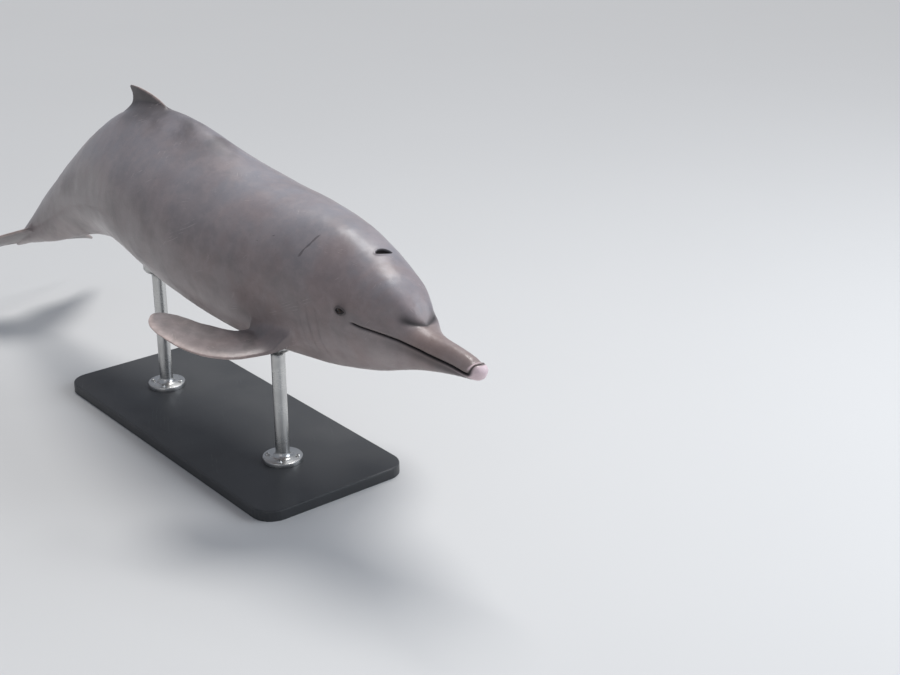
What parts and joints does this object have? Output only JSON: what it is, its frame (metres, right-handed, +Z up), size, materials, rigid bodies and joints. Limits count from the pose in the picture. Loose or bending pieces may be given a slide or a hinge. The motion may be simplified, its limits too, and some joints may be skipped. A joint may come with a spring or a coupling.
{
  "type": "humpback dolphin on a display stand",
  "caption": "Life-size Indian Ocean humpback dolphin in a shallow leap, long beak forward and tail bent down, on a flat base with short rods.",
  "frame": {"origin": "on the floor, at the middle of the whole part's bounding box", "axes": "+X along the animal toward its beak, +Y to its left, +Z up"},
  "size_m": [2.4724, 0.7128, 0.9149],
  "materials": {
    "body_skin": "wet, smooth",
    "beak_skin": "wet, smooth",
    "jaw_skin": "wet, smooth",
    "fin_skin": "wet, smooth",
    "eye": "wet, glossy",
    "stand_paint": "satin",
    "stand_steel": "brushed"
  },
  "bodies": {
    "root": {"beak": "beak_skin", "lower_jaw": "jaw_skin", "head": "body_skin", "chest": "body_skin", "trunk": "body_skin", "tail_stock": "body_skin", "dorsal_fin": "fin_skin", "flipper_left": "fin_skin", "flipper_right": "fin_skin", "fluke_left": "fin_skin", "fluke_right": "fin_skin", "eye_left": "eye", "eye_right": "eye", "stand_base": "stand_paint", "stand_rod_front": "stand_steel", "stand_rod_rear": "stand_steel"}
  },
  "joints": []
}
